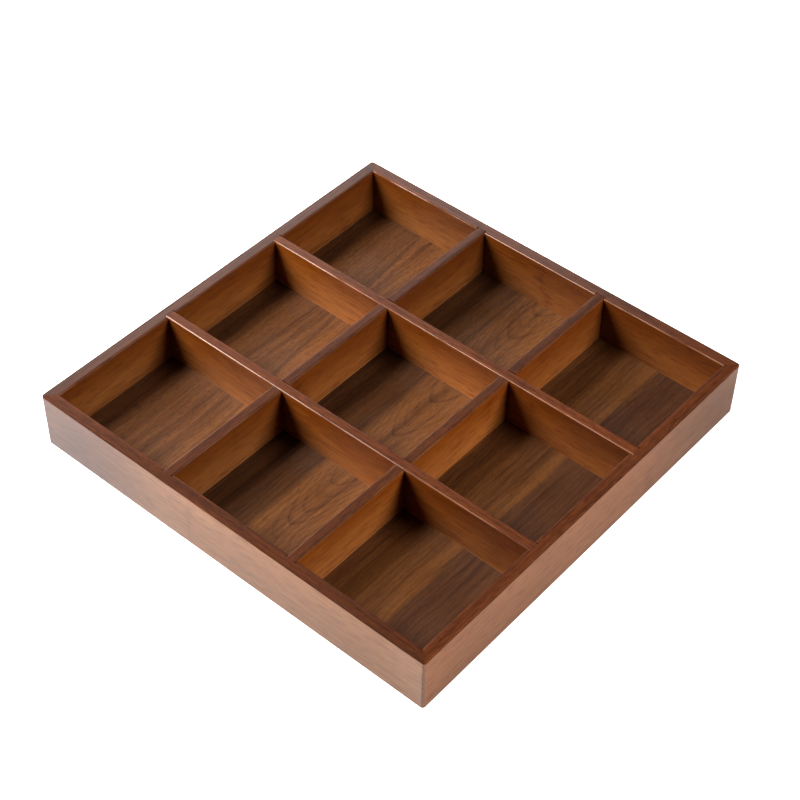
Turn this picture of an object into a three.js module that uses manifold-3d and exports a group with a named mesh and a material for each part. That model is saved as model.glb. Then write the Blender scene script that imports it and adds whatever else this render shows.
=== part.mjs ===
// Divided snack box: a shallow tray of four mitred boards, split into nine compartments by a grid
// of boards that are halved over each other, with a thin panel for its floor.
// Millimetres, +Z up. The origin is the middle of the footprint, on the surface the box stands on.
// The long dividers run along X, the cross dividers run along Y, and the front wall faces -Y.

import * as THREE from 'three';
import { mergeVertices } from 'three/addons/utils/BufferGeometryUtils.js';
import Module from 'manifold-3d';

// Outside of the box
const LENGTH = 300; // along X
const WIDTH = 300; // along Y
const HEIGHT = 40; // table to rim

// Compartments
const COLUMNS = 3; // along X
const ROWS = 3; // along Y

// Thickness of the boards
const WALL = 8;
const LONG_DIVIDER = 7;
const CROSS_DIVIDER = 7;
const PANEL = 3;

// Floor panel and its groove
const PANEL_LIFT = 3; // table to the panel's underside
const GROOVE_DEPTH = 4; // into each wall, from its inner face
const PANEL_CLEARANCE = 0.2; // above the panel, in its groove
const PANEL_EXPANSION = 0.5; // room for the panel to swell, at the end of its groove

// Joints between the boards
const GLUE_LINE = 0.1; // between the two faces of a mitre
const HOUSING_DEPTH = 2.5; // how far a divider is let into a wall
const HOUSING_CLEARANCE = 0.15; // at each side and end of a divider in its housing
const LAP_CLEARANCE = 0.15; // at each side and end of a halved joint

// Radii of the eased edges
const RIM_EASING = 1.2; // top edges of the dividers, and inner top edges of the walls
const OUTER_EASING = 0.4; // outer top edges of the walls, which are left crisper
const CORNER_EASING = 2; // upright outer corners of the box
const FOOT_EASING = 0.6; // outer bottom edges of the walls
const ARC_SEGMENTS = 2; // an arc gets twice as many facets

// How far a cutting shape reaches past the face that it cuts
const CUT_MARGIN = 1;

// Levels and setbacks that follow from these
const FLOOR = PANEL_LIFT + PANEL;
const LAP_LEVEL = (FLOOR + HEIGHT) / 2;
const MITRE_SETBACK = GLUE_LINE / Math.SQRT2;
const QUARTER = Math.PI / 2;
const EIGHTH = Math.PI / 4;

const wasm = await Module();
wasm.setup();

/** Turns a closed geometry into a solid that can be joined and cut. */
function toSolid(geometry) {
  const bare = geometry.clone();
  bare.deleteAttribute('normal');
  bare.deleteAttribute('uv');
  const merged = mergeVertices(bare);
  return new wasm.Manifold(new wasm.Mesh({
    numProp: 3,
    vertProperties: Float32Array.from(merged.attributes.position.array),
    triVerts: Uint32Array.from(merged.index.array),
  }));
}

/** Turns a solid back into a geometry with its own normals. */
function toGeometry(solid) {
  const { vertProperties, triVerts } = solid.getMesh();
  const geometry = new THREE.BufferGeometry();
  geometry.setAttribute('position', new THREE.BufferAttribute(vertProperties, 3));
  geometry.setIndex(new THREE.BufferAttribute(triVerts, 1));
  geometry.computeVertexNormals();
  return geometry;
}

/** Extrudes a profile that is drawn as (across, up) along X, and centres the board there. */
function boardAlongX(profile, length) {
  const geometry = new THREE.ExtrudeGeometry(profile, {
    depth: length,
    bevelEnabled: false,
    curveSegments: ARC_SEGMENTS,
  });
  const across = new THREE.Vector3(0, 1, 0);
  const up = new THREE.Vector3(0, 0, 1);
  const along = new THREE.Vector3(1, 0, 0);
  geometry.applyMatrix4(new THREE.Matrix4().makeBasis(across, up, along));
  geometry.translate(-length / 2, 0, 0);
  return geometry;
}

/** A box between two corners, for cutting. */
function cutter(low, high) {
  const size = high.clone().sub(low);
  const middle = low.clone().add(high).divideScalar(2);
  const geometry = new THREE.BoxGeometry(size.x, size.y, size.z);
  geometry.translate(middle.x, middle.y, middle.z);
  return toSolid(geometry);
}

/** Where the dividers stand along one side of the box, so that its compartments are equal. */
function dividerCentres(outside, thickness, compartments) {
  const count = compartments - 1;
  const clear = (outside - 2 * WALL - count * thickness) / compartments;
  const first = WALL + clear + thickness / 2 - outside / 2;
  return Array.from({ length: count }, (_, index) => first + index * (clear + thickness));
}

/** A wall's section from its outer face (0) to its inner face, with the groove for the panel. */
function wallSection() {
  const grooveEnd = WALL - GROOVE_DEPTH;
  const grooveTop = FLOOR + PANEL_CLEARANCE;
  const section = new THREE.Shape();
  section.moveTo(FOOT_EASING, 0);
  section.lineTo(WALL, 0);
  section.lineTo(WALL, PANEL_LIFT);
  section.lineTo(grooveEnd, PANEL_LIFT);
  section.lineTo(grooveEnd, grooveTop);
  section.lineTo(WALL, grooveTop);
  section.absarc(WALL - RIM_EASING, HEIGHT - RIM_EASING, RIM_EASING, 0, QUARTER);
  section.absarc(OUTER_EASING, HEIGHT - OUTER_EASING, OUTER_EASING, QUARTER, 2 * QUARTER);
  section.absarc(FOOT_EASING, FOOT_EASING, FOOT_EASING, 2 * QUARTER, 3 * QUARTER);
  return section;
}

/** A wall seen from above: square to its outer face, mitred at both ends, with eased corners. */
function mitredPlan(length) {
  const tip = length / 2 - MITRE_SETBACK;
  const centre = tip - CORNER_EASING;
  const plan = new THREE.Shape();
  plan.absarc(-centre, CORNER_EASING, CORNER_EASING, 5 * EIGHTH, 6 * EIGHTH);
  plan.absarc(centre, CORNER_EASING, CORNER_EASING, 6 * EIGHTH, 7 * EIGHTH);
  plan.lineTo(tip - WALL, WALL);
  plan.lineTo(WALL - tip, WALL);
  return plan;
}

/** A wall along X with its outer face on y = 0, housed for the dividers that end in it. */
function wallBoard(length, dividers, dividerThickness) {
  const mitred = new THREE.ExtrudeGeometry(mitredPlan(length), {
    depth: HEIGHT + 2 * CUT_MARGIN,
    bevelEnabled: false,
    curveSegments: ARC_SEGMENTS,
  });
  mitred.translate(0, 0, -CUT_MARGIN);
  let board = toSolid(boardAlongX(wallSection(), length)).intersect(toSolid(mitred));
  const half = dividerThickness / 2 + HOUSING_CLEARANCE;
  for (const centre of dividers) {
    const low = new THREE.Vector3(centre - half, WALL - HOUSING_DEPTH, FLOOR);
    const high = new THREE.Vector3(centre + half, WALL + CUT_MARGIN, HEIGHT + CUT_MARGIN);
    board = board.subtract(cutter(low, high));
  }
  return toGeometry(board);
}

/** A divider's section: square at the foot, eased at both top edges. */
function dividerSection(thickness) {
  const half = thickness / 2;
  const shoulder = HEIGHT - RIM_EASING;
  const section = new THREE.Shape();
  section.moveTo(-half, FLOOR);
  section.lineTo(half, FLOOR);
  section.absarc(half - RIM_EASING, shoulder, RIM_EASING, 0, QUARTER);
  section.absarc(RIM_EASING - half, shoulder, RIM_EASING, QUARTER, 2 * QUARTER);
  return section;
}

/** A divider along X that reaches into both walls, slotted between two levels where others cross it. */
function dividerBoard(outside, thickness, crossings, crossingThickness, slotFoot, slotTop) {
  const reach = outside - 2 * (WALL - HOUSING_DEPTH + HOUSING_CLEARANCE);
  let board = toSolid(boardAlongX(dividerSection(thickness), reach));
  const half = crossingThickness / 2 + LAP_CLEARANCE;
  const side = thickness / 2 + CUT_MARGIN;
  for (const centre of crossings) {
    const low = new THREE.Vector3(centre - half, -side, slotFoot);
    const high = new THREE.Vector3(centre + half, side, slotTop);
    board = board.subtract(cutter(low, high));
  }
  return toGeometry(board);
}

/** The floor panel, whose edges lie in the grooves of all four walls. */
function panelBoard() {
  const edge = WALL - GROOVE_DEPTH + PANEL_EXPANSION;
  const geometry = new THREE.BoxGeometry(LENGTH - 2 * edge, WIDTH - 2 * edge, PANEL);
  geometry.translate(0, 0, PANEL_LIFT + PANEL / 2);
  return geometry;
}

/** A named mesh of lacquered wood. */
function wooden(name, geometry, color, roughness) {
  const mesh = new THREE.Mesh(geometry, new THREE.MeshStandardMaterial({ color, roughness, metalness: 0 }));
  mesh.name = name;
  return mesh;
}

const WALL_COLOUR = 0x9a6a48;
const DIVIDER_COLOUR = 0x8a5428;
const PANEL_COLOUR = 0x6e4c33;
const LACQUER = 0.4; // roughness of the lacquered boards
const PANEL_LACQUER = 0.5; // the panel is a little duller

const longCentres = dividerCentres(WIDTH, LONG_DIVIDER, ROWS);
const crossCentres = dividerCentres(LENGTH, CROSS_DIVIDER, COLUMNS);

const snackBox = new THREE.Group();
snackBox.name = 'divided_snack_box';

// The four walls, each a quarter turn on from the last, seen from above
const walls = [
  { name: 'front_wall', length: LENGTH, dividers: crossCentres, thickness: CROSS_DIVIDER, x: 0, y: -WIDTH / 2 },
  { name: 'right_wall', length: WIDTH, dividers: longCentres, thickness: LONG_DIVIDER, x: LENGTH / 2, y: 0 },
  { name: 'back_wall', length: LENGTH, dividers: crossCentres, thickness: CROSS_DIVIDER, x: 0, y: WIDTH / 2 },
  { name: 'left_wall', length: WIDTH, dividers: longCentres, thickness: LONG_DIVIDER, x: -LENGTH / 2, y: 0 },
];
walls.forEach(({ name, length, dividers, thickness, x, y }, turn) => {
  const wall = wooden(name, wallBoard(length, dividers, thickness), WALL_COLOUR, LACQUER);
  wall.position.set(x, y, 0);
  wall.rotation.z = turn * QUARTER;
  snackBox.add(wall);
});

// Long dividers, unbroken along the rim and slotted from below
longCentres.forEach((centre, index) => {
  const slots = [FLOOR - CUT_MARGIN, LAP_LEVEL + LAP_CLEARANCE];
  const board = dividerBoard(LENGTH, LONG_DIVIDER, crossCentres, CROSS_DIVIDER, ...slots);
  const divider = wooden(`long_divider_${index + 1}`, board, DIVIDER_COLOUR, LACQUER);
  divider.position.y = centre;
  snackBox.add(divider);
});

// Cross dividers, which pass under the long ones and are slotted from above
crossCentres.forEach((centre, index) => {
  const slots = [LAP_LEVEL, HEIGHT + CUT_MARGIN];
  const board = dividerBoard(WIDTH, CROSS_DIVIDER, longCentres, LONG_DIVIDER, ...slots);
  const divider = wooden(`cross_divider_${index + 1}`, board, DIVIDER_COLOUR, LACQUER);
  divider.position.x = centre;
  divider.rotation.z = QUARTER;
  snackBox.add(divider);
});

snackBox.add(wooden('floor_panel', panelBoard(), PANEL_COLOUR, PANEL_LACQUER));

export default snackBox;
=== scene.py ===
"""Looks of a divided snack box: stained bamboo boards over a veneered floor, in soft studio light.

Metres, +Z up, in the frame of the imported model. The box stands on z = 0 with its middle on the Z
axis, its front wall faces -Y, its long dividers run along X and its cross dividers along Y.
"""

import logging
import math
from dataclasses import dataclass, field
from enum import Enum
from typing import Any, Callable, ClassVar, Iterable, Mapping, Sequence

import bmesh
import bpy
from mathutils import Matrix, Vector

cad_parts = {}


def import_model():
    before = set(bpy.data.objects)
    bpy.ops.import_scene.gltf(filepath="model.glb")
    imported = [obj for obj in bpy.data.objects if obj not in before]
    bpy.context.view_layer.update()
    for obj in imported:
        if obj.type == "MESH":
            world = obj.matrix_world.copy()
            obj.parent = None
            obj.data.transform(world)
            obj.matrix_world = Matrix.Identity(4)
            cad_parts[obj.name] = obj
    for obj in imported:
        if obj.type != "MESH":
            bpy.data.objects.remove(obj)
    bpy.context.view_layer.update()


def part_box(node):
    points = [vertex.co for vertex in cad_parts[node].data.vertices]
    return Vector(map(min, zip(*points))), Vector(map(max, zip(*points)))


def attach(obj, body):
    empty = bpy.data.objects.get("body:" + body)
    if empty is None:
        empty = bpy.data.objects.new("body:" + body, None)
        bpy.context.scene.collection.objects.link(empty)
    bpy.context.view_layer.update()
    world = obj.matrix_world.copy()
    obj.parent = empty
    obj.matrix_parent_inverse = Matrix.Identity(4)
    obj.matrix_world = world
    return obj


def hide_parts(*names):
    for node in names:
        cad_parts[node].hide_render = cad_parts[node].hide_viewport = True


LOG = logging.getLogger("divided_snack_box")
BODY = "root"  # the box has no joints, so all of it is one body

MILLIMETRE = 0.001
MERGE_DISTANCE = 1e-7
ON_PLANE = 1e-6  # how near a vertex has to be to count as lying on a plane
EASING_SEGMENTS = 4  # facets across a rounded edge
SHARP_ANGLE = math.radians(35)  # edges that turn more than this stay crisp
UPRIGHT = 0.99  # how much of its length an edge has to rise to count as upright

Colour = tuple[float, float, float]
Tones = tuple[float, float, float]  # lightness at a board's start, its middle and its end, with painted light falloff along it
Pair = tuple[float, float]

UP = Vector((0, 0, 1))
WHITE: Colour = (1.0, 1.0, 1.0)
BLACK: Colour = (0.0, 0.0, 0.0)


class Run(Enum):
    """Which way a board lies, and so which way its fibres run."""

    ALONG_X = Vector((1, 0, 0))
    ALONG_Y = Vector((0, 1, 0))

    @property
    def across(self) -> Vector:
        """The level direction square to the board."""
        return Vector((abs(self.value.y), abs(self.value.x), 0))


class Slot(Enum):
    """Material slots of the record."""

    WALL = "wall_wood"
    DIVIDER = "divider_wood"
    PANEL = "panel_wood"


class LapSide(Enum):
    """The side from which a divider is slotted where it crosses another."""

    FROM_ABOVE = 1
    FROM_BELOW = -1


# Shader maths


class Wire:
    """A shader socket that takes part in Python arithmetic."""

    def __init__(self, graph: "ShaderGraph", socket: bpy.types.NodeSocket) -> None:
        """Wraps an output socket of a graph's node."""
        self.graph = graph
        self.socket = socket

    def _math(self, operation: str, *values: "Value") -> "Wire":
        """A Math node on the given values, in order."""
        return self.graph.node("ShaderNodeMath", {"operation": operation}, dict(enumerate(values)))

    def __add__(self, other: "Value") -> "Wire":
        """Sum."""
        return self._math("ADD", self, other)

    def __sub__(self, other: "Value") -> "Wire":
        """Difference."""
        return self._math("SUBTRACT", self, other)

    def __rsub__(self, other: "Value") -> "Wire":
        """Difference, with the number first."""
        return self._math("SUBTRACT", other, self)

    def __mul__(self, other: "Value") -> "Wire":
        """Product."""
        return self._math("MULTIPLY", self, other)

    def __truediv__(self, other: "Value") -> "Wire":
        """Quotient."""
        return self._math("DIVIDE", self, other)

    __radd__ = __add__
    __rmul__ = __mul__

    def __abs__(self) -> "Wire":
        """Distance from zero."""
        return self._math("ABSOLUTE", self)

    def floor(self) -> "Wire":
        """The whole number below."""
        return self._math("FLOOR", self)

    def fraction(self) -> "Wire":
        """What is left above the whole number below."""
        return self._math("FRACT", self)

    def above(self, limit: "Value") -> "Wire":
        """One where the value is above a limit, and zero elsewhere."""
        return self._math("GREATER_THAN", self, limit)

    def rise(self, start: float, end: float) -> "Wire":
        """A smooth step from zero to one.

        Args:
            start: the value at which the step begins.
            end: the value at which it is complete, which is the smaller one for a falling step.

        Returns:
            The step's height.
        """
        low, high, foot, top = (start, end, 0.0, 1.0) if start < end else (end, start, 1.0, 0.0)
        sockets = {"Value": self, "From Min": low, "From Max": high, "To Min": foot, "To Max": top}
        return self.graph.node("ShaderNodeMapRange", {"interpolation_type": "SMOOTHSTEP"}, sockets)


Value = float | Wire
SocketValue = float | Sequence[float] | Wire
Settings = Mapping[str, Any] | None
Sockets = Mapping[str | int, SocketValue] | None


class ShaderGraph:
    """The nodes of a material or of the room."""

    # A Mix node's sockets for blending colours
    MIX_SHARE: ClassVar[int] = 0
    MIX_BASE: ClassVar[int] = 6
    MIX_OTHER: ClassVar[int] = 7
    MIX_RESULT: ClassVar[int] = 2

    def __init__(self, owner: bpy.types.Material | bpy.types.World) -> None:
        """Starts without any nodes.

        Args:
            owner: the material or the room.
        """
        owner.use_nodes = True
        self.owner = owner
        self.tree = owner.node_tree
        self.tree.nodes.clear()

    def add(self, kind: str, settings: Settings = None, sockets: Sockets = None) -> bpy.types.Node:
        """Adds a node.

        Args:
            kind: the node's type.
            settings: its properties, which are set before its sockets.
            sockets: values or wires for its inputs, by name or by place.

        Returns:
            The node.
        """
        node = self.tree.nodes.new(kind)
        for name, value in (settings or {}).items():
            setattr(node, name, value)
        for name, value in (sockets or {}).items():
            if isinstance(value, Wire):
                self.tree.links.new(value.socket, node.inputs[name])
            else:
                node.inputs[name].default_value = value
        return node

    def node(
        self, kind: str, settings: Settings = None, sockets: Sockets = None, output: str | int = 0
    ) -> Wire:
        """Adds a node, and gives a wire from the output that is wanted."""
        return Wire(self, self.add(kind, settings, sockets).outputs[output])

    def axes(self) -> tuple[Wire, ...]:
        """The X, Y and Z of a point on the piece."""
        place = {"Vector": self.node("ShaderNodeTexCoord", output="Object")}
        return tuple(self.node("ShaderNodeSeparateXYZ", None, place, axis) for axis in "XYZ")

    def point(self, x: Value, y: Value, z: Value) -> Wire:
        """A vector from three numbers."""
        return self.node("ShaderNodeCombineXYZ", None, {"X": x, "Y": y, "Z": z})

    def noise(self, place: Wire, detail: float = 2.0, roughness: float = 0.5) -> Wire:
        """Smooth noise about 0.5, with blotches about one unit wide.

        Args:
            place: the point, already stretched to the blotches' size.
            detail: how many finer layers are added.
            roughness: how strong those layers are.

        Returns:
            The noise at that point.
        """
        sockets = {"Vector": place, "Scale": 1.0, "Detail": detail, "Roughness": roughness}
        return self.node("ShaderNodeTexNoise", {"noise_dimensions": "3D"}, sockets)

    def chance(self, place: Wire) -> Wire:
        """A number from zero to one that differs from point to point without any pattern."""
        return self.node("ShaderNodeTexWhiteNoise", {"noise_dimensions": "3D"}, {"Vector": place})

    def blend(self, share: Value, base: SocketValue, other: SocketValue, mode: str = "MIX") -> Wire:
        """Blends two colours.

        Args:
            share: how much of the other colour comes in.
            base: the colour where the share is zero.
            other: the colour that comes in.
            mode: how it comes in.

        Returns:
            The blended colour.
        """
        settings = {"data_type": "RGBA", "blend_type": mode, "clamp_factor": True}
        sockets = {
            self.MIX_SHARE: share,
            self.MIX_BASE: self._opaque(base),
            self.MIX_OTHER: self._opaque(other),
        }
        return self.node("ShaderNodeMix", settings, sockets, self.MIX_RESULT)

    @staticmethod
    def _opaque(colour: SocketValue) -> SocketValue:
        """A colour with the fourth number that a colour socket takes."""
        return colour if isinstance(colour, Wire) else (*colour, 1.0)

    def shade(self, colour: SocketValue, amount: Value) -> Wire:
        """A colour made darker or lighter by an amount."""
        sockets = {0: colour, "Scale": amount}
        return self.node("ShaderNodeVectorMath", {"operation": "SCALE"}, sockets)

    def finish(self, sockets: Sockets, relief: Value, depth: float) -> bpy.types.Material:
        """Ends a material in a glossy shader.

        Args:
            sockets: values or wires for the shader's inputs.
            relief: the height of the surface, from zero to one.
            depth: what a height of one stands for, in metres.

        Returns:
            The finished material.
        """
        height = {"Strength": 1.0, "Distance": depth, "Height": relief}
        bump = self.node("ShaderNodeBump", None, height)
        shader = self.node("ShaderNodeBsdfPrincipled", None, {**sockets, "Normal": bump})
        self.add("ShaderNodeOutputMaterial", None, {"Surface": shader})
        return self.owner


# Finishes


@dataclass(frozen=True)
class Grain:
    """One layer of a wood's grain: noise drawn out along the fibres."""

    length: float  # how many fibres follow each other in a metre
    fineness: float  # how many lie side by side in a metre
    depth: float = 1.0  # how much the layer darkens or lightens the wood, or how far it bends the others
    seed: float = 0.0  # a number that makes the layer's pattern its own
    detail: float = 3.0  # how many finer layers of noise are added
    roughness: float = 0.55  # how strong those are
    patch: Pair = (0.0, 1.0)  # the noise at which a patch of it begins, and at which the patch is whole

    def swing(self, noise: Wire) -> Wire:
        """What the layer's noise, which lies about 0.5, adds or takes away."""
        return (noise - 0.5) * self.depth

    def patches(self, noise: Wire) -> Wire:
        """One in the layer's patches, and zero between them."""
        return noise.rise(*self.patch)


@dataclass(frozen=True)
class BoardSpan:
    """Where a board lies."""

    run: Run  # which way it lies
    low: Vector  # its lowest corner
    high: Vector  # its highest corner
    floor: float  # height of the compartments' floor

    @property
    def ends(self) -> Pair:
        """Where it starts and ends, along it."""
        return self.run.value.dot(self.low), self.run.value.dot(self.high)

    @property
    def faces(self) -> Pair:
        """Where its two faces lie, across it."""
        return self.run.across.dot(self.low), self.run.across.dot(self.high)


@dataclass(frozen=True)
class BoardSpot:
    """A point on a board."""

    along: Wire  # place along the board
    across: Wire  # place across it
    up: Wire  # height
    offset: Wire  # distance from the board's middle plane, across it
    inset: Wire  # distance from the nearer one of its two faces
    below: Wire  # distance below the rim

    @classmethod
    def on(cls, span: BoardSpan, g: ShaderGraph) -> "BoardSpot":
        """Any point of a board.

        Args:
            span: where the board lies.
            g: the graph of its material.

        Returns:
            The point.
        """
        x, y, up = g.axes()
        along, across = (x, y) if span.run is Run.ALONG_X else (y, x)
        first, second = span.faces
        offset = across - (first + second) / 2
        inset = (second - first) / 2 - abs(offset)
        return cls(along, across, up, offset, inset, span.high.z - up)


@dataclass(frozen=True)
class BoardLook:
    """What sets a board's finish apart from the others', and the light and highlights painted on it."""

    knuckle: float  # where a joint of the bamboo shows, along the board
    tone_and_falloff: Tones = (1.0, 1.0, 1.0)  # how light its sides are inside the box, at its start, middle and end: its own tone, with painted light falloff along it
    top: float = 1.0  # how light its sides are towards their top, against other boards
    rim_tone: float = 1.0  # how light its top edge is
    rim_coat: Pair = (0.3, 0.3)  # weight of the lacquer on its top edge, at its start and at its end
    glint_wear: Pair = (0.0, 0.0)  # how smooth the top arrises of its first and its second face are rubbed, and how strong a highlight is painted on them
    glint_falloff: float = 0.25  # how much less they are rubbed and painted with a highlight at its end, where the glint falls off


@dataclass(frozen=True)
class OuterFace:
    """The outer face of a wall."""

    sign: float  # one if it is the wall's second face, across the wall, and minus one if the first
    light_tints: tuple[Colour, Colour]  # painted light, shade and reflection along the face: its colour against the stain's own, at its start and at its end
    turn: float  # where the one painted tint gives way to the other, along the wall
    foot: float = 0.97  # painted shade: how light it is at its foot, against its top
    coat: float = 0.40  # weight of the lacquer on it
    grain: float = 1.0  # how strongly the fibres show on it, against the board's other faces


@dataclass(frozen=True)
class StainedBamboo:
    """Laminated bamboo, stained brown and lacquered satin.

    The stain is darkest on the rim, and the sides of the compartments are darker towards their top and
    lighter towards the floor.
    Painted light and shade also lie along the boards and on the walls' outer faces, with a painted highlight
    on rubbed top arrises.
    """

    span: BoardSpan  # where the board lies
    board: float  # a number that makes this board's pattern its own
    look: BoardLook  # what sets it apart from the other boards
    outer: OuterFace | None = None  # its outer face, if it is a wall

    # Stains
    OUTSIDE: ClassVar[Colour] = (0.150, 0.053, 0.0150)
    SIDE_FOOT: ClassVar[Colour] = (0.226, 0.0775, 0.0165)
    SIDE_TOP: ClassVar[Colour] = (0.117, 0.0285, 0.0018)
    RIM_STAIN: ClassVar[Colour] = (0.052, 0.0132, 0.0030)
    PALE_WOOD: ClassVar[Colour] = (0.36, 0.16, 0.07)  # lighter wood where the stain is rubbed thin on the arrises, also standing in for their painted highlight; and the lighter line at the sides' foot

    # What is left of the stain's colour
    IN_GRAIN: ClassVar[Colour] = (0.60, 0.50, 0.42)  # in a dark fibre
    PAINTED_END_SHADE: ClassVar[Colour] = (1.0, 0.90, 0.78)  # painted shade: what is left of the stain's colour at a board's end, warmer and darker
    RUST: ClassVar[Colour] = (0.62, 0.40, 0.36)  # in a joint of the bamboo
    SCAR: ClassVar[Colour] = (0.35, 0.25, 0.22)  # in a scar or a glue line

    # Layers of the grain
    FIBRE: ClassVar[Grain] = Grain(24.0, 950.0, depth=2.3)
    STREAK: ClassVar[Grain] = Grain(5.0, 150.0, depth=0.8)
    CLOUD: ClassVar[Grain] = Grain(11.0, 34.0, depth=0.7)
    FLECK: ClassVar[Grain] = Grain(90.0, 1150.0, depth=0.9, patch=(0.50, 0.66))
    RIM_STREAK: ClassVar[Grain] = Grain(12.0, 420.0, depth=1.7)
    RIM_SPECKLE: ClassVar[Grain] = Grain(160.0, 1400.0, depth=2.0)
    RUST_PATCH: ClassVar[Grain] = Grain(120.0, 1100.0, depth=0.5, patch=(0.38, 0.62))
    SCAR_PATCH: ClassVar[Grain] = Grain(120.0, 1100.0, depth=0.35, patch=(0.42, 0.55))
    # Patches where the top arrises are rubbed and their painted highlight shows
    GLINT_WEAR_PATCH: ClassVar[Grain] = Grain(31.0, 120.0, depth=0.8, patch=(0.30, 0.60))
    FOOT_PATCH: ClassVar[Grain] = Grain(16.0, 90.0, depth=0.3, patch=(0.34, 0.60))
    EVEN: ClassVar[float] = 0.2  # how dark the grain is where no layer shows
    STRIP_DEPTH: ClassVar[float] = 0.2  # how much darker it is in the darkest strip
    SEAM_DEPTH: ClassVar[float] = 0.2  # how much darker it is in a glue line
    GRAIN_DEPTH: ClassVar[float] = 0.03 * MILLIMETRE  # what the relief stands for

    # Strips of the laminate
    STRIP: ClassVar[float] = 19 * MILLIMETRE  # height of one strip
    PLY: ClassVar[float] = 2.7 * MILLIMETRE  # thickness of one layer
    SEAM: ClassVar[float] = 0.25 * MILLIMETRE  # width of the glue line between two strips
    STRIP_SHIFT: ClassVar[float] = 0.37  # how far each board's strips are out of step
    PLY_SHIFT: ClassVar[float] = 0.61  # how far its layers are
    PATTERN_SHIFT: ClassVar[float] = 3.7  # how far its fibres are

    # Joints of the bamboo
    KNUCKLE_PITCH: ClassVar[float] = 0.27  # between two joints of one strip
    KNUCKLE_SPREAD: ClassVar[float] = 0.05  # how far neighbouring strips' joints are out of step
    KNUCKLE_BEND: ClassVar[float] = 6 * MILLIMETRE  # how far a joint bends to and fro
    KNUCKLE_WAVES: ClassVar[float] = 160.0  # how many bends lie in a metre
    KNUCKLE_REACH: ClassVar[float] = 9 * MILLIMETRE  # how far the rust-coloured band reaches
    SCAR_REACH: ClassVar[Pair] = (1.2 * MILLIMETRE, 0.2 * MILLIMETRE)  # the scar's edge and core

    # Edges
    FADE: ClassVar[float] = 110 * MILLIMETRE  # over which the outer face changes its painted light tint
    RIM_REACH: ClassVar[Pair] = (1.0 * MILLIMETRE, 0.2 * MILLIMETRE)  # edge and core of the rim's stain
    MITRE_REACH: ClassVar[Pair] = (0.35 * MILLIMETRE, 0.1 * MILLIMETRE)  # a mitre's edge and core
    MITRE_DEPTH: ClassVar[float] = 0.7  # how much a mitre's glue line darkens the wood
    MITRE_HIDDEN: ClassVar[float] = 0.7  # how much of that line the rim's stain hides
    ARRIS: ClassVar[float] = 1.2 * MILLIMETRE  # how far an arris reaches from its edge
    CREST: ClassVar[float] = 0.45 * MILLIMETRE  # how far from its edge an arris is rubbed most and its painted highlight is brightest
    CREST_REACH: ClassVar[Pair] = (0.32 * MILLIMETRE, 0.06 * MILLIMETRE)  # edge and core of that rubbing and painted highlight
    FOOT_LINE: ClassVar[float] = 1.0 * MILLIMETRE  # how far up from the floor the sides are lighter

    # Lacquer
    SIDE_COAT: ClassVar[float] = 0.40  # its weight in the compartments
    COAT_ROUGHNESS: ClassVar[float] = 0.32
    ROUGHNESS: ClassVar[float] = 0.40  # of the wood under it
    SPECULAR: ClassVar[float] = 0.10  # gloss of that wood

    def material(self, name: str) -> bpy.types.Material:
        """Mixes the finish for one board.

        Args:
            name: the material's name.

        Returns:
            The material.
        """
        g = ShaderGraph(bpy.data.materials.new(name))
        spot = BoardSpot.on(self.span, g)
        fibre = self._layer(g, spot, self.FIBRE)
        streak = self._layer(g, spot, self.STREAK)
        cloud = self._layer(g, spot, self.CLOUD)
        fleck = self.FLECK.patches(self._layer(g, spot, self.FLECK))
        place = spot.up / self.STRIP + self.board * self.STRIP_SHIFT
        strip = place.floor()
        seam = abs(place.fraction() - 0.5).rise(0.5 - self.SEAM / self.STRIP, 0.5)
        ply = (spot.across / self.PLY + self.board * self.PLY_SHIFT).floor()
        strip_tone = g.chance(g.point(strip, ply, self.board))
        knuckle, scar = self._knuckles(g, spot, strip)
        arris, wear_and_glint = self._arrises(g, spot)

        grain = self.FIBRE.swing(fibre) + self.STREAK.swing(streak) + self.CLOUD.swing(cloud)
        if self.outer:
            grain = grain * (1 - self._outside(spot) * (1 - self.outer.grain))
        depth = grain + self.EVEN + strip_tone * self.STRIP_DEPTH + seam * self.SEAM_DEPTH
        depth = depth + fleck * self.FLECK.depth
        colour = g.blend(depth, self._stain(g, spot), self.IN_GRAIN, "MULTIPLY")
        colour = g.blend(knuckle * self.RUST_PATCH.depth, colour, self.RUST, "MULTIPLY")
        lines = scar * self.SCAR_PATCH.depth + self._mitres(spot) * self.MITRE_DEPTH
        colour = g.blend(lines, colour, self.SCAR, "MULTIPLY")
        # Painted highlight on the rubbed top arrises, with their wear, and a lighter line at the sides' foot
        pale_share = wear_and_glint * self.GLINT_WEAR_PATCH.depth + self._foot_line(g, spot) * self.FOOT_PATCH.depth
        colour = g.blend(pale_share, colour, self.PALE_WOOD)
        dull = (cloud - 0.5) * 0.2 + (fibre - 0.5) * 0.16 + fleck * 0.08 + arris * 0.4
        sockets = {
            "Base Color": colour,
            "Roughness": self.ROUGHNESS + dull,
            "Specular IOR Level": self.SPECULAR,
            "Coat Weight": self._lacquer(spot, arris, wear_and_glint),
            "Coat Roughness": self.COAT_ROUGHNESS,
        }
        relief = fibre * 0.5 - fleck * 0.4 - seam * 0.5 + streak * 0.3
        return g.finish(sockets, relief, self.GRAIN_DEPTH)

    def _layer(self, g: ShaderGraph, spot: BoardSpot, grain: Grain) -> Wire:
        """One layer of the grain.

        Args:
            g: the material's graph.
            spot: the point.
            grain: the layer.

        Returns:
            Its noise, about 0.5.
        """
        shift = self.board * self.PATTERN_SHIFT
        along = spot.along * grain.length + shift
        across = spot.across * grain.fineness + shift
        place = g.point(along, across, spot.up * grain.fineness)
        return g.noise(place, grain.detail, grain.roughness)

    def _outside(self, spot: BoardSpot) -> Wire:
        """One in a wall's outer half, and zero in its inner half."""
        return (spot.offset * self.outer.sign).above(0.0)

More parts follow.
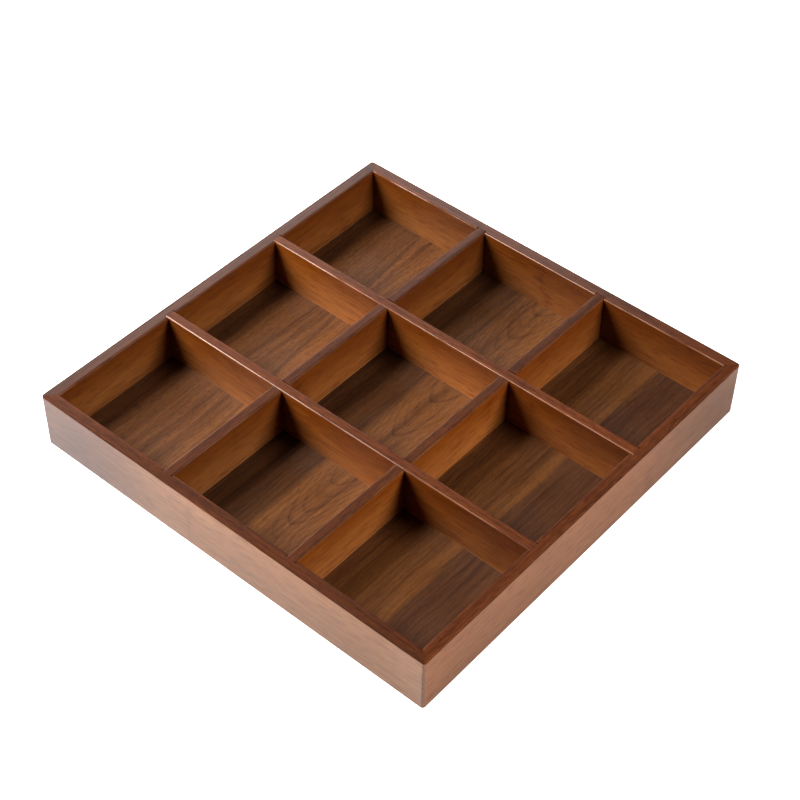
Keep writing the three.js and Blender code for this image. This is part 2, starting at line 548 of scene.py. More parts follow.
    def _stain(self, g: ShaderGraph, spot: BoardSpot) -> Wire:
        """The stain before the grain shows through it.

        Args:
            g: the material's graph.
            spot: the point.

        Returns:
            Its colour: darker towards the top inside and darkest on the rim, with painted light falloff
                along the board inside, and painted light, shade and reflection on the outer face.
        """
        # Painted light falloff along the board, over the board's own tone
        start, middle, end = self.look.tone_and_falloff
        first, last = self.span.ends
        halfway = (first + last) / 2
        near = spot.along.rise(first, halfway) * (middle - start)
        far = spot.along.rise(halfway, last) * (end - middle)
        side_top = [channel * self.look.top for channel in self.SIDE_TOP]
        higher = spot.up.rise(self.span.floor, self.span.high.z)
        colour = g.shade(g.blend(higher, self.SIDE_FOOT, side_top), start + near + far)
        # Painted shade: warmer and darker towards the board's end
        colour = g.blend(spot.along.rise(first, last), colour, self.PAINTED_END_SHADE, "MULTIPLY")
        # Painted light, shade and reflection along the outer face, and painted shade at its foot
        if self.outer:
            turn, foot = self.outer.turn, self.outer.foot
            beyond = spot.along.rise(turn - self.FADE / 2, turn + self.FADE / 2)
            tint = g.blend(beyond, *self.outer.light_tints)
            outside = g.blend(1.0, tint, self.OUTSIDE, "MULTIPLY")
            outside = g.shade(outside, foot + spot.below.rise(self.span.high.z, 0.0) * (1 - foot))
            colour = g.blend(self._outside(spot), colour, outside)
        streak = self.RIM_STREAK.swing(self._layer(g, spot, self.RIM_STREAK))
        speckle = self.RIM_SPECKLE.swing(self._layer(g, spot, self.RIM_SPECKLE))
        top = g.shade(self.RIM_STAIN, (1 + streak + speckle) * self.look.rim_tone)
        return g.blend(spot.below.rise(*self.RIM_REACH), colour, top)

    def _knuckles(self, g: ShaderGraph, spot: BoardSpot, strip: Wire) -> tuple[Wire, Wire]:
        """Joints of the bamboo in each strip, each with a rust-coloured band and a thin scar.

        Args:
            g: the material's graph.
            spot: the point.
            strip: the number of the strip.

        Returns:
            The band's strength and the scar's strength.
        """
        step = (g.chance(g.point(strip, self.board, 0.5)) - 0.5) * self.KNUCKLE_SPREAD
        across, up = spot.across * self.KNUCKLE_WAVES, spot.up * self.KNUCKLE_WAVES
        bend = (g.noise(g.point(across, up, self.board)) - 0.5) * self.KNUCKLE_BEND
        turns = (spot.along - self.look.knuckle + step + bend) / self.KNUCKLE_PITCH + 0.5
        distance = abs(turns.fraction() - 0.5) * self.KNUCKLE_PITCH
        ragged = self._layer(g, spot, self.RUST_PATCH)
        band = distance.rise(self.KNUCKLE_REACH, 0.0) * self.RUST_PATCH.patches(ragged)
        scar = distance.rise(*self.SCAR_REACH) * self.SCAR_PATCH.patches(ragged)
        return band, scar

    def _mitres(self, spot: BoardSpot) -> Value:
        """Dark glue lines where a wall meets its neighbours.

        Args:
            spot: the point.

        Returns:
            A line's strength, or nothing on a divider.
        """
        if not self.outer:
            return 0.0
        (start, end), (first, second) = self.span.ends, self.span.faces
        from_end = (end - start) / 2 - abs(spot.along - (start + end) / 2)
        from_outside = (second - first) / 2 - spot.offset * self.outer.sign
        line = abs(from_end - from_outside).rise(*self.MITRE_REACH)
        return line * (1 - spot.below.rise(*self.RIM_REACH) * self.MITRE_HIDDEN)

    def _arrises(self, g: ShaderGraph, spot: BoardSpot) -> tuple[Wire, Wire]:
        """The top arrises, with their wear and a painted highlight.

        Args:
            g: the material's graph.
            spot: the point.

        Returns:
            One on an arris, and how strongly it is rubbed there and painted with a highlight.
        """
        first, second = self.look.glint_wear
        reach = (self.ARRIS, self.ARRIS / 3)
        arris = spot.inset.rise(*reach) * spot.below.rise(*reach)
        crest = abs(spot.inset - self.CREST).rise(*self.CREST_REACH) * arris
        patchy = self.GLINT_WEAR_PATCH.patches(self._layer(g, spot, self.GLINT_WEAR_PATCH))
        glint_falloff = 1 - spot.along.rise(*self.span.ends) * self.look.glint_falloff
        glint_wear = first + spot.offset.above(0.0) * (second - first)
        return arris, crest * patchy * glint_falloff * glint_wear

    def _foot_line(self, g: ShaderGraph, spot: BoardSpot) -> Wire:
        """A lighter line at the foot of the compartments' sides.

        Args:
            g: the material's graph.
            spot: the point.

        Returns:
            How much lighter it is.
        """
        patchy = self.FOOT_PATCH.patches(self._layer(g, spot, self.FOOT_PATCH))
        foot = (spot.up - self.span.floor).rise(self.FOOT_LINE, self.FOOT_LINE / 3) * patchy
        return foot * (1 - self._outside(spot)) if self.outer else foot

    def _lacquer(self, spot: BoardSpot, arris: Wire, wear_and_glint: Wire) -> Wire:
        """How thick the lacquer is.

        Args:
            spot: the point.
            arris: one on a top arris.
            wear_and_glint: how smooth it is rubbed there, where a highlight is also painted on the colour.

        Returns:
            The weight of the coat on the sides, on the rim, on the outer face and on the arrises.
        """
        start, end = self.look.rim_coat
        rim = spot.below.rise(*self.RIM_REACH)
        on_rim = start + spot.along.rise(*self.span.ends) * (end - start)
        coat = self.SIDE_COAT + rim * (on_rim - self.SIDE_COAT)
        if self.outer:
            outside = self._outside(spot) * (1 - rim)
            coat = coat + outside * (self.outer.coat - self.SIDE_COAT)
        return coat * (1 - arris) + wear_and_glint


@dataclass(frozen=True)
class VeneerLeaf:
    """One leaf of the floor's veneer, laid along Y."""

    start: float  # where the leaf starts, along X
    soft: float  # how gradually it takes over from the leaf before it
    tint: Colour  # its colour against the veneer's own
    pith: float  # where its growth rings have their middle, along X
    figure: float = 0.15  # how strongly its growth rings show
    arch: float = 0.0  # how sharply they turn there, or zero if they run straight past it
    pores: float = 0.35  # how strongly its short pores show
    lean: float = 0.0  # how far its start moves along X with each metre along Y


@dataclass(frozen=True)
class WalnutVeneer:
    """Dark veneer in leaves side by side, some with straight grain and one with an arched figure."""

    leaves: tuple[VeneerLeaf, ...]  # the leaves, in their order along X

    LIGHT: ClassVar[Colour] = (0.122, 0.0440, 0.0126)
    DEEP: ClassVar[Colour] = (0.043, 0.0138, 0.0040)
    PORE: ClassVar[Colour] = (0.015, 0.0046, 0.0017)

    # Layers of the grain
    STREAK: ClassVar[Grain] = Grain(9.0, 210.0, depth=1.6, seed=0.3, roughness=0.6)
    BAND: ClassVar[Grain] = Grain(6.0, 55.0, depth=1.3, seed=0.7, detail=2.0, roughness=0.5)
    LINE: ClassVar[Grain] = Grain(10.0, 520.0, depth=0.8, seed=1.5, detail=2.0, roughness=0.6)
    FIBRE: ClassVar[Grain] = Grain(40.0, 1100.0, depth=1.5, seed=1.1, roughness=0.6)
    FLECK: ClassVar[Grain] = Grain(210.0, 1800.0, seed=1.9, detail=2.0, roughness=0.6, patch=(0.46, 0.70))
    DRIFT: ClassVar[Grain] = Grain(13.0, 20.0, depth=10 * MILLIMETRE, seed=3.1, detail=2.0, roughness=0.5)
    WARP: ClassVar[Grain] = Grain(14.0, 40.0, depth=7 * MILLIMETRE, seed=2.3, roughness=0.5)
    EVEN: ClassVar[float] = 0.36  # how dark the veneer is where no layer shows
    PORE_DEPTH: ClassVar[float] = 0.06 * MILLIMETRE  # what the relief stands for

    RING: ClassVar[float] = 3.4 * MILLIMETRE  # width of a growth ring on the face
    LATE: ClassVar[Pair] = (0.55, 0.98)  # where in a ring its dark part begins and ends
    ARCH_STEP: ClassVar[float] = 13 * MILLIMETRE  # from one arch to the next, at their tips

    ROUGHNESS: ClassVar[float] = 0.42
    SPECULAR: ClassVar[float] = 0.20

    def material(self, name: str) -> bpy.types.Material:
        """Mixes the finish for the floor panel.

        Args:
            name: the material's name.

        Returns:
            The material.
        """
        g = ShaderGraph(bpy.data.materials.new(name))
        x, y, _ = g.axes()
        across = x + self.DRIFT.swing(self._layer(g, x, y, self.DRIFT))
        streak = self._layer(g, across, y, self.STREAK)
        band = self._layer(g, across, y, self.BAND)
        line = self._layer(g, across, y, self.LINE)
        fibre = self._layer(g, across, y, self.FIBRE)
        fleck = self.FLECK.patches(self._layer(g, across, y, self.FLECK))
        rings, tint, pores = self._figure(g, x, y, streak)

        depth = rings + self.STREAK.swing(streak) + self.BAND.swing(band)
        depth = depth + self.LINE.swing(line) + self.FIBRE.swing(fibre) + self.EVEN
        colour = g.blend(depth, self.LIGHT, self.DEEP)
        colour = g.blend(fleck * pores, colour, self.PORE)
        sockets = {
            "Base Color": g.blend(1.0, colour, tint, "MULTIPLY"),
            "Roughness": self.ROUGHNESS + (band - 0.5) * 0.2 + fleck * 0.15,
            "Specular IOR Level": self.SPECULAR,
        }
        return g.finish(sockets, 0.5 - fleck * 0.5 + fibre * 0.3, self.PORE_DEPTH)

    @staticmethod
    def _layer(g: ShaderGraph, x: Wire, y: Wire, grain: Grain) -> Wire:
        """One layer of the grain, as noise about 0.5."""
        place = g.point(x * grain.fineness, y * grain.length, grain.seed)
        return g.noise(place, grain.detail, grain.roughness)

    def _figure(self, g: ShaderGraph, x: Wire, y: Wire, streak: Wire) -> tuple[Wire, Wire, Wire]:
        """The growth rings and the colour of the leaf that a point lies on.

        Args:
            g: the material's graph.
            x: place across the leaves.
            y: place along them.
            streak: long streaks along them, which make the leaves' edges ragged.

        Returns:
            The darkness of the rings, the leaf's tint and the strength of its pores.
        """
        warp = self.WARP.swing(self._layer(g, x, y, self.WARP))
        rings: Value = 0.0
        pores: Value = 0.0
        tint: SocketValue = self.leaves[0].tint
        for number, leaf in enumerate(self.leaves):
            ragged = x - y * leaf.lean + (streak - 0.5) * (leaf.soft * 2)
            inside = ragged.rise(leaf.start - leaf.soft / 2, leaf.start + leaf.soft / 2)
            side = x - leaf.pith
            turn = (side + warp) / self.RING
            if leaf.arch:
                turn = (side * side / leaf.arch - y) / self.ARCH_STEP + warp / self.RING
            year = g.chance(g.point(turn.floor(), float(number), 0.0))
            late = turn.fraction().rise(*self.LATE) * (year * 0.7 + 0.2) * leaf.figure
            rings = rings + inside * (late - rings)
            pores = pores + inside * (leaf.pores - pores)
            tint = g.blend(inside, tint, leaf.tint)
        return rings, tint, pores


@dataclass(frozen=True)
class PaleTable:
    """Smooth near-white table top."""

    PAPER: ClassVar[Colour] = (0.69, 0.69, 0.69)
    GLOW: ClassVar[float] = 0.85  # how much brighter the table looks than its light makes it
    ROUGHNESS: ClassVar[float] = 0.5
    FINENESS: ClassVar[float] = 400.0  # how many grains lie side by side in a metre
    GRAIN_DEPTH: ClassVar[float] = 0.02 * MILLIMETRE

    def material(self, name: str) -> bpy.types.Material:
        """Mixes the finish for the table under the box.

        Args:
            name: the material's name.

        Returns:
            The material.
        """
        g = ShaderGraph(bpy.data.materials.new(name))
        x, y, _ = g.axes()
        grain = g.noise(g.point(x * self.FINENESS, y * self.FINENESS, 0.0))
        seen = g.node("ShaderNodeLightPath", output="Is Camera Ray")
        sockets = {
            "Base Color": (*self.PAPER, 1.0),
            "Roughness": self.ROUGHNESS + grain * 0.1,
            "Emission Color": g.blend(seen, BLACK, WHITE),
            "Emission Strength": self.GLOW,
        }
        return g.finish(sockets, grain, self.GRAIN_DEPTH)


# Meshes


def lies_at(edge: bmesh.types.BMEdge, direction: Vector, place: float) -> bool:
    """Whether both ends of an edge lie at a place in a direction."""
    return all(abs(direction.dot(vert.co) - place) < ON_PLANE for vert in edge.verts)


class BoardMesh:
    """A board's mesh while it is shaped."""

    def __init__(self, shape: bmesh.types.BMesh) -> None:
        """Takes over a mesh."""
        self.shape = shape

    @classmethod
    def between(cls, low: Vector, high: Vector) -> "BoardMesh":
        """A square-edged board.

        Args:
            low: its lowest corner.
            high: its highest corner.

        Returns:
            The board.
        """
        shape = bmesh.new()
        bmesh.ops.create_cube(shape, size=1.0)
        bmesh.ops.scale(shape, vec=high - low, verts=shape.verts)
        bmesh.ops.translate(shape, vec=(low + high) / 2, verts=shape.verts)
        return cls(shape)

    @classmethod
    def ring(cls, section: Sequence[Pair], half: Vector) -> "BoardMesh":
        """A rectangular frame of one section all round.

        Args:
            section: corners of the section, as depth from the outer face and height.
            half: half of the frame's length and width.

        Returns:
            The frame, with square corners.
        """
        shape = bmesh.new()
        places = [(half.x - depth, half.x - depth, height) for depth, height in section]
        verts = [shape.verts.new(place) for place in places]
        edges = [shape.edges.new((verts[i - 1], vert)) for i, vert in enumerate(verts)]
        bmesh.ops.spin(
            shape, geom=[*verts, *edges], cent=(0, 0, 0), axis=UP, angle=math.tau, steps=4, use_merge=True
        )
        for side in (-1, 1):
            moved = [vert for vert in shape.verts if vert.co.y * side > 0]
            bmesh.ops.translate(shape, vec=(0, side * (half.y - half.x), 0), verts=moved)
        bmesh.ops.recalc_face_normals(shape, faces=shape.faces)
        return cls(shape)

    def copy(self) -> "BoardMesh":
        """A second mesh of the same shape."""
        return BoardMesh(self.shape.copy())

    def ease(self, chosen: Callable[[bmesh.types.BMEdge], bool], radius: float) -> None:
        """Rounds edges.

        Args:
            chosen: says of an edge whether it is rounded.
            radius: the rounding's radius.
        """
        bmesh.ops.bevel(
            self.shape,
            geom=[edge for edge in self.shape.edges if chosen(edge)],
            offset=radius,
            offset_type="OFFSET",
            segments=EASING_SEGMENTS,
            profile=0.5,
            affect="EDGES",
            material=-1,
            clamp_overlap=True,
        )

    def trim(self, place: Vector, away: Vector) -> None:
        """Saws off what lies away from a plane through a place, and closes the cut."""
        self._score(self.shape.faces, place, away, clear=True)
        self._close()

    def notch(
        self, along: Vector, start: float, end: float, opening: Vector, floor: float, above: float = -1.0
    ) -> None:
        """Cuts a notch with square sides, open on one side.

        Args:
            along: the direction between the notch's two sides.
            start: the first side's place in that direction.
            end: the second side's place.
            opening: the direction in which the notch is open.
            floor: the place of the notch's floor in that direction.
            above: the height under which the board stays whole.
        """
        middle, reach = (start + end) / 2, abs(end - start) / 2

        def within() -> list[bmesh.types.BMFace]:
            """Faces between the notch's sides and above the part that stays whole."""
            centres = ((face, face.calc_center_median()) for face in self.shape.faces)
            return [f for f, c in centres if abs(along.dot(c) - middle) < reach and c.z > above]

        for side in (start, end):
            self._score(self.shape.faces, along * side, along)
        self._score(within(), opening * floor, opening)
        beyond = floor + ON_PLANE
        waste = [face for face in within() if opening.dot(face.calc_center_median()) > beyond]
        bmesh.ops.delete(self.shape, geom=waste, context="FACES")
        open_edges = [edge for edge in self.shape.edges if edge.is_boundary]
        rails = [edge for edge in open_edges if lies_at(edge, opening, floor)]
        bmesh.ops.bridge_loops(self.shape, edges=rails)
        self._close()

    def _score(
        self, faces: Iterable[bmesh.types.BMFace], place: Vector, normal: Vector, clear: bool = False
    ) -> None:
        """Cuts faces along a plane.

        Args:
            faces: the faces to cut.
            place: a point on the plane.
            normal: the plane's normal.
            clear: whether what lies beyond the plane is removed.
        """
        cut = list(faces)
        edges = dict.fromkeys(edge for face in cut for edge in face.edges)  # in the same order each run
        verts = dict.fromkeys(vert for face in cut for vert in face.verts)
        bmesh.ops.bisect_plane(
            self.shape,
            geom=[*verts, *edges, *cut],
            dist=MERGE_DISTANCE,
            plane_co=place,
            plane_no=normal,
            clear_outer=clear,
        )

    def _close(self) -> None:
        """Fills every open loop with a face."""
        loops = [edge for edge in self.shape.edges if edge.is_boundary]
        bmesh.ops.holes_fill(self.shape, edges=loops, sides=0)

    def piece(self, name: str, slot: Slot, material: bpy.types.Material) -> bpy.types.Object:
        """Turns the mesh into a finished piece that stands for the CAD node of that name.

        Args:
            name: the CAD node's name.
            slot: the record's material slot; not used.
            material: the piece's finish.

        Returns:
            The piece, on the object's body.
        """
        bmesh.ops.remove_doubles(self.shape, verts=self.shape.verts, dist=MERGE_DISTANCE)
        bmesh.ops.recalc_face_normals(self.shape, faces=self.shape.faces)
        for face in self.shape.faces:
            face.smooth = True
        mesh = bpy.data.meshes.new(name + "_board")
        self.shape.to_mesh(mesh)
        self.shape.free()
        mesh.set_sharp_from_angle(angle=SHARP_ANGLE)
        mesh.materials.append(material)
        board = bpy.data.objects.new(name + "_board", mesh)
        bpy.context.scene.collection.objects.link(board)
        weighted = board.modifiers.new("flat_faces", "WEIGHTED_NORMAL")
        weighted.keep_sharp = True
        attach(board, BODY)
        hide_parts(name)
        return board


# Sub-assemblies


@dataclass
class FloorPanel:
    """The veneered panel that lies in the grooves of the walls."""

    node: str = "floor_panel"  # the CAD node that it stands for
    easing: float = 0.15 * MILLIMETRE  # radius of its edges
    leaves: tuple[VeneerLeaf, ...] = (  # the leaves of its veneer, from the left wall to the right one
        VeneerLeaf(-1.0, 0.001, (1.03, 1.03, 1.06), pith=-0.190, pores=0.5),
        VeneerLeaf(-0.0862, 0.0015, (0.76, 0.75, 0.80), pith=-0.170, pores=0.5, lean=-0.1),
        VeneerLeaf(-0.0836, 0.0015, (1.26, 1.21, 1.13), pith=-0.170, pores=0.5, lean=-0.1),
        VeneerLeaf(-0.048, 0.001, (0.70, 0.70, 0.72), pith=-0.150, figure=0.3),
        VeneerLeaf(-0.008, 0.004, (1.25, 1.25, 1.21), pith=0.009, figure=0.42, arch=0.006, pores=0.4),
        VeneerLeaf(0.048, 0.001, (1.20, 1.19, 1.09), pith=-0.020, figure=0.25),
        VeneerLeaf(0.0995, 0.004, (0.62, 0.62, 0.80), pith=0.240),
    )
    low: Vector = field(init=False)  # its lowest corner
    high: Vector = field(init=False)  # its highest corner

    def __post_init__(self) -> None:
        """Takes the panel's place from the frame."""
        self.low, self.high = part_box(self.node)

    def build(self) -> bpy.types.Object:
        """Makes the panel and its veneer.

        Returns:
            The piece.
        """
        board = BoardMesh.between(self.low, self.high)
        board.ease(lambda edge: True, self.easing)
        veneer = WalnutVeneer(self.leaves).material("walnut_veneer")
        return board.piece(self.node, Slot.PANEL, veneer)


@dataclass
class DividerGrid:
    """Boards halved over each other, which part the box into compartments."""

    long_nodes: tuple[str, ...] = ("long_divider_1", "long_divider_2")  # along X, slotted from below
    cross_nodes: tuple[str, ...] = ("cross_divider_1", "cross_divider_2")  # along Y, slotted from above
    # The boards' tones carry painted light falloff along them, and their wear a painted highlight on the top
    # arrises
    looks: tuple[BoardLook, ...] = (  # the finishes of the long boards, then of the cross boards
        BoardLook(0.0485, (1.00, 1.13, 0.68), rim_tone=1.5, glint_wear=(0.75, 0.2), glint_falloff=0.6),
        BoardLook(0.078, (1.34, 1.19, 0.77), 0.88, rim_tone=1.75, glint_wear=(0.55, 0.2), glint_falloff=0.0),
        BoardLook(-0.0485, (0.78, 0.86, 0.61), 1.16, rim_tone=1.05, glint_wear=(0.6, 0.2)),
        BoardLook(0.0485, (1.11, 1.20, 0.77), 1.16, glint_wear=(0.5, 0.2)),
    )
    first_board: float = 5.0  # the first one's number among the boards of the box, after the walls
    easing: float = 1.2 * MILLIMETRE  # radius of the top edges
    clearance: float = 0.15 * MILLIMETRE  # room at each side and end of a halved joint

    def build(self) -> list[bpy.types.Object]:
        """Makes all the dividers.

        Returns:
            The long ones, then the cross ones.
        """
        boards = [(node, Run.ALONG_X, LapSide.FROM_BELOW) for node in self.long_nodes]
        boards += [(node, Run.ALONG_Y, LapSide.FROM_ABOVE) for node in self.cross_nodes]
        return [self._divider(*board, number) for number, board in enumerate(boards)]

    def meeting(self, run: Run) -> tuple[str, ...]:
        """The dividers that meet a board which lies one way."""
        return self.cross_nodes if run is Run.ALONG_X else self.long_nodes

    def _divider(self, node: str, run: Run, lap: LapSide, number: int) -> bpy.types.Object:
        """Makes one divider.

        Args:
            node: the CAD node that it stands for.
            run: which way it lies.
            lap: the side from which it is slotted.
            number: its number among the dividers.

        Returns:
            The piece.
        """
        low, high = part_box(node)
        span = BoardSpan(run, low, high, low.z)

        def is_arris(edge: bmesh.types.BMEdge) -> bool:
            """Whether an edge lies on the rim, and not across one of the divider's ends."""
            at_end = any(lies_at(edge, run.value, end) for end in span.ends)
            return lies_at(edge, UP, high.z) and not at_end

        board = BoardMesh.between(low, high)
        board.ease(is_arris, self.easing)
        level = (low.z + high.z) / 2
        floor = level if lap is LapSide.FROM_ABOVE else -level - self.clearance
        for other in self.meeting(run):
            near, far = (run.value.dot(corner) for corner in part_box(other))
            start, end = near - self.clearance, far + self.clearance
            board.notch(run.value, start, end, UP * lap.value, floor)
        finish = StainedBamboo(span, self.first_board + number, self.looks[number])
        return board.piece(node, Slot.DIVIDER, finish.material("bamboo_" + node))


@dataclass(frozen=True)
class WallSide:
    """One wall of the box."""

    node: str  # the CAD node that it stands for
    run: Run  # which way it lies
    look: BoardLook  # its finish
    outer: OuterFace  # its outer face

    @property
    def outward(self) -> Vector:
        """The direction that its outer face faces."""
        return self.run.across * self.outer.sign


@dataclass
class WallFrame:
    """Four walls, mitred at the corners, grooved for the floor panel and housed for the dividers."""

    grid: DividerGrid  # the dividers that end in the walls
    panel: FloorPanel  # the panel in the walls' grooves
    sides: tuple[WallSide, ...] = (  # the walls, a quarter turn apart
        WallSide(
            "front_wall",
            Run.ALONG_X,
            BoardLook(-0.048, rim_coat=(0.25, 0.25)),
            # Painted reflection and shade: greyer and darker at its start, lighter beyond, and darker at its
            # foot
            OuterFace(
                -1.0, ((0.63, 0.56, 0.63), (1.58, 1.72, 1.54)), turn=-0.070, foot=0.78, coat=0.63, grain=0.65
            ),
        ),
        WallSide(
            "right_wall",
            Run.ALONG_Y,
            BoardLook(0.08, rim_tone=1.32, rim_coat=(0.12, 0.25)),
            # Painted light, falling off towards the wall's far end
            OuterFace(1.0, ((1.18, 1.18, 1.18), (0.70, 0.70, 0.70)), turn=0.08, coat=0.48),
        ),
        WallSide(
            "back_wall",
            Run.ALONG_X,
            BoardLook(0.003, (0.92, 0.76, 0.76), rim_tone=1.3, rim_coat=(0.42, 0.90), glint_wear=(0.65, 0.0)),
            OuterFace(1.0, (WHITE, (0.9, 0.9, 0.9)), turn=0.003),
        ),
        WallSide(
            "left_wall",
            Run.ALONG_Y,
            BoardLook(0.126, (0.81, 0.77, 0.68), top=1.14, rim_coat=(0.95, 0.48), glint_wear=(0.0, 0.2)),
            OuterFace(-1.0, ((0.9, 0.9, 0.9), WHITE), turn=0.126),
        ),
    )
    rim_easing: float = 1.2 * MILLIMETRE  # radius of the inner top edges
    outer_easing: float = 0.4 * MILLIMETRE  # radius of the outer top edges
    corner_easing: float = 2 * MILLIMETRE  # radius of the upright outer corners
    foot_easing: float = 0.6 * MILLIMETRE  # radius of the outer bottom edges
    glue_line: float = 0.002 * MILLIMETRE  # gap in a mitre, too thin for light to show through
    housing_clearance: float = 0.15 * MILLIMETRE  # room at each side and end of a divider in its housing
    panel_clearance: float = 0.2 * MILLIMETRE  # room above the panel in its groove
    panel_expansion: float = 0.5 * MILLIMETRE  # room at the end of the panel's groove
    thickness: float = field(init=False)  # of the walls
    height: float = field(init=False)  # of the walls
    half: Vector = field(init=False)  # half of the frame's length and width
    groove_end: float = field(init=False)  # how far the groove's end lies from the outer face
    groove_top: float = field(init=False)  # height of the groove's upper face

    def __post_init__(self) -> None:
        """Takes the walls' sizes from the frame."""
        low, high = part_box("front_wall")
        self.thickness = high.y - low.y
        self.height = high.z
        self.half = Vector((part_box("right_wall")[1].x, -low.y, 0))
        self.groove_end = self.half.x - self.panel.high.x - self.panel_expansion
        self.groove_top = self.panel.high.z + self.panel_clearance

    def build(self) -> list[bpy.types.Object]:
        """Makes the four walls.

        Returns:
            The pieces, a quarter turn apart.
        """
        ring = self._ring()
        numbered = enumerate(self.sides, start=1)
        walls = [self._wall(ring.copy(), side, number) for number, side in numbered]
        ring.shape.free()
        return walls

    def _ring(self) -> BoardMesh:
        """Shapes all four walls in one.

        Returns:
            The ring, before the mitres are sawn.
        """
        section = (
            (0.0, 0.0),
            (self.thickness, 0.0),
            (self.thickness, self.panel.low.z),
            (self.groove_end, self.panel.low.z),
            (self.groove_end, self.groove_top),
            (self.thickness, self.groove_top),
            (self.thickness, self.height),
            (0.0, self.height),
        )
        ring = BoardMesh.ring(section, self.half)
        ring.ease(self._is_corner, self.corner_easing)
        ring.ease(lambda edge: self._is_arris(edge) and self._is_outer(edge), self.outer_easing)
        ring.ease(lambda edge: self._is_arris(edge) and not self._is_outer(edge), self.rim_easing)
        ring.ease(lambda edge: lies_at(edge, UP, 0.0) and self._is_outer(edge), self.foot_easing)
        return ring

    def _is_corner(self, edge: bmesh.types.BMEdge) -> bool:
        """Whether an edge is an upright outer corner."""
        upright = abs((edge.verts[1].co - edge.verts[0].co).normalized().dot(UP)) > UPRIGHT
        return upright and self._is_outer(edge)

    def _is_outer(self, edge: bmesh.types.BMEdge) -> bool:
        """Whether an edge lies on the outside of the frame, rounded corners and all."""
        past = (max(abs(v.co.x) - self.half.x, abs(v.co.y) - self.half.y) for v in edge.verts)
        return all(distance > -self.corner_easing - ON_PLANE for distance in past)

    def _is_arris(self, edge: bmesh.types.BMEdge) -> bool:
        """Whether an edge lies on the rim and the faces on both sides of it meet at an angle."""
        on_rim = lies_at(edge, UP, self.height)
        return on_rim and edge.is_manifold and edge.calc_face_angle() > SHARP_ANGLE

    def _wall(self, board: BoardMesh, side: WallSide, number: int) -> bpy.types.Object:
        """Saws one wall out of the ring and houses it.

        Args:
            board: the ring.
            side: the wall to make.
            number: its number among the boards of the box.

        Returns:
            The piece.
        """
        along, floor = side.run.value, self.panel.high.z
        for end in (-1, 1):
            tip = along * end + side.outward
            corner = Vector((tip.x * self.half.x, tip.y * self.half.y, 0))
            away = (along * end - side.outward).normalized()
            board.trim(corner - away * (self.glue_line / 2), away)
        for node in self.grid.meeting(side.run):
            low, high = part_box(node)
            start = along.dot(low) - self.housing_clearance
            end = along.dot(high) + self.housing_clearance
            reach = max(side.outward.dot(low), side.outward.dot(high)) + self.housing_clearance
            board.notch(along, start, end, -side.outward, -reach, above=floor)
        span = BoardSpan(side.run, *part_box(side.node), floor)
        finish = StainedBamboo(span, float(number), side.look, side.outer)
        return board.piece(side.node, Slot.WALL, finish.material("bamboo_" + side.node))


# Studio


@dataclass(frozen=True)
class SoftBox:
    """A large soft light, aimed at the box."""

    name: str  # what it is called
    bearing: float  # its direction seen from above, in degrees from +X towards +Y
    elevation: float  # its height above the horizon, in degrees
    distance: float  # from the box
    width: float  # of its face
    height: float  # of its face
    power: float  # in watts

    def place(self, aim: Vector) -> None:
        """Sets the light up.

        Args:
            aim: the point that it faces.
        """
        bearing, elevation = math.radians(self.bearing), math.radians(self.elevation)
        level = math.cos(elevation)
        direction = Vector((level * math.cos(bearing), level * math.sin(bearing), math.sin(elevation)))
        data = bpy.data.lights.new(self.name, "AREA")
        data.shape = "RECTANGLE"
        data.size, data.size_y = self.width, self.height
        data.energy = self.power
        light = bpy.data.objects.new(self.name, data)
        light.location = aim + direction * self.distance
        light.rotation_euler = (-direction).to_track_quat("-Z", "Y").to_euler()
        bpy.context.scene.collection.objects.link(light)


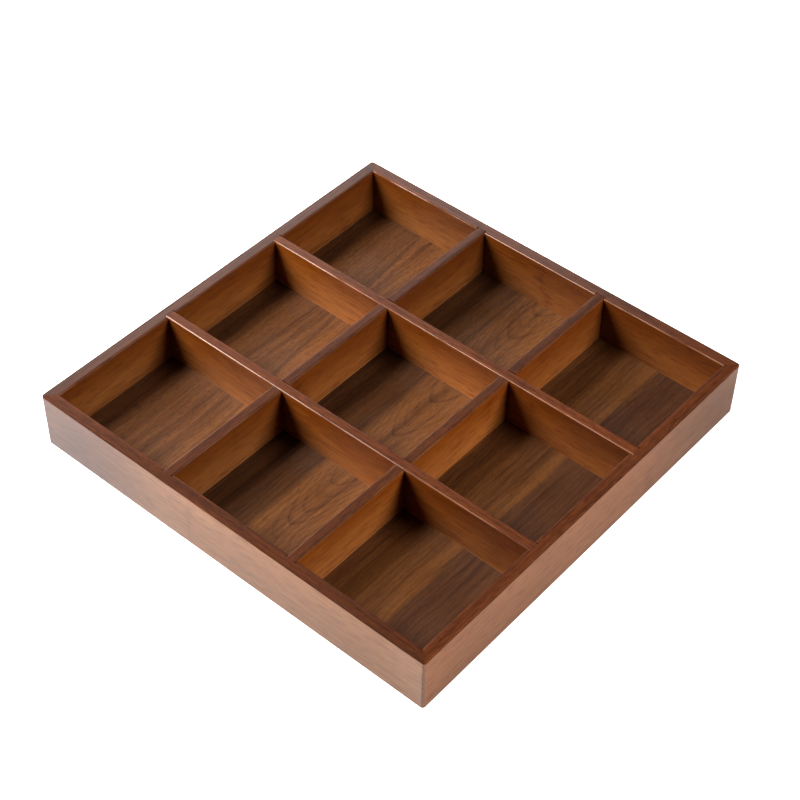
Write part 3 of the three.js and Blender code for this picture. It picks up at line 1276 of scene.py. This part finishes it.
@dataclass
class Studio:
    """Table, lights and camera."""

    eye: Vector = field(default_factory=lambda: Vector((0.5101, -0.6035, 0.8297)))  # the camera's place
    aim: Vector = field(default_factory=lambda: Vector((0.0009, 0.0041, 0.0200)))  # middle of the picture
    roll: float = 1.00  # how far the camera is turned about its line of sight, in degrees
    lens: float = 83.17  # focal length in millimetres
    sensor: float = 36.0  # width of the film in millimetres
    table: float = 8.0  # half of the table's side
    sky: float = 0.005  # brightness of the room
    backdrop: float = 1.0  # brightness of what the camera sees behind the table
    lights: tuple[SoftBox, ...] = (  # the lights, from the camera's left round to its right
        SoftBox("left_softbox", 218.0, 39.0, distance=1.20, width=0.34, height=0.80, power=45.0),
        SoftBox("right_softbox", 12.2, 23.5, distance=1.46, width=0.45, height=0.36, power=31.4),
        SoftBox("back_panel", 146.0, 26.0, distance=0.75, width=0.90, height=0.34, power=2.9),
    )

    def build(self) -> None:
        """Sets up the whole studio."""
        self._lay_table()
        for light in self.lights:
            light.place(self.aim)
        self._light_room()
        self._set_camera()
        bpy.context.scene.view_settings.view_transform = "Standard"

    def _lay_table(self) -> None:
        """Lays the table under the box."""
        shape = bmesh.new()
        bmesh.ops.create_grid(shape, x_segments=1, y_segments=1, size=self.table)
        mesh = bpy.data.meshes.new("table")
        shape.to_mesh(mesh)
        shape.free()
        mesh.materials.append(PaleTable().material("pale_table"))
        table = bpy.data.objects.new("table", mesh)
        bpy.context.scene.collection.objects.link(table)

    def _light_room(self) -> None:
        """Gives the room an even brightness, with a backdrop that only the camera sees."""
        room = bpy.data.worlds.new("room")
        g = ShaderGraph(room)
        seen = g.node("ShaderNodeLightPath", output="Is Camera Ray")
        brightness = self.sky + seen * (self.backdrop - self.sky)
        sockets = {"Color": (*WHITE, 1.0), "Strength": brightness}
        background = g.node("ShaderNodeBackground", None, sockets)
        g.add("ShaderNodeOutputWorld", None, {"Surface": background})
        bpy.context.scene.world = room

    def _set_camera(self) -> None:
        """Sets the camera up at the photograph's viewing angle."""
        data = bpy.data.cameras.new("camera")
        data.lens = self.lens
        data.sensor_width = self.sensor
        camera = bpy.data.objects.new("camera", data)
        sight = (self.aim - self.eye).to_track_quat("-Z", "Y").to_matrix().to_4x4()
        turn = Matrix.Rotation(math.radians(self.roll), 4, "Z")
        camera.matrix_world = Matrix.Translation(self.eye) @ sight @ turn
        bpy.context.scene.collection.objects.link(camera)
        bpy.context.scene.camera = camera


def main() -> None:
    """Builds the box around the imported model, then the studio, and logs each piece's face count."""
    logging.basicConfig(level=logging.INFO)
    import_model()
    panel = FloorPanel()
    grid = DividerGrid()
    walls = WallFrame(grid, panel)
    for piece in (panel.build(), *grid.build(), *walls.build()):
        LOG.info("%s: %d faces", piece.name, len(piece.data.polygons))
    Studio().build()


if __name__ == "__main__":
    main()
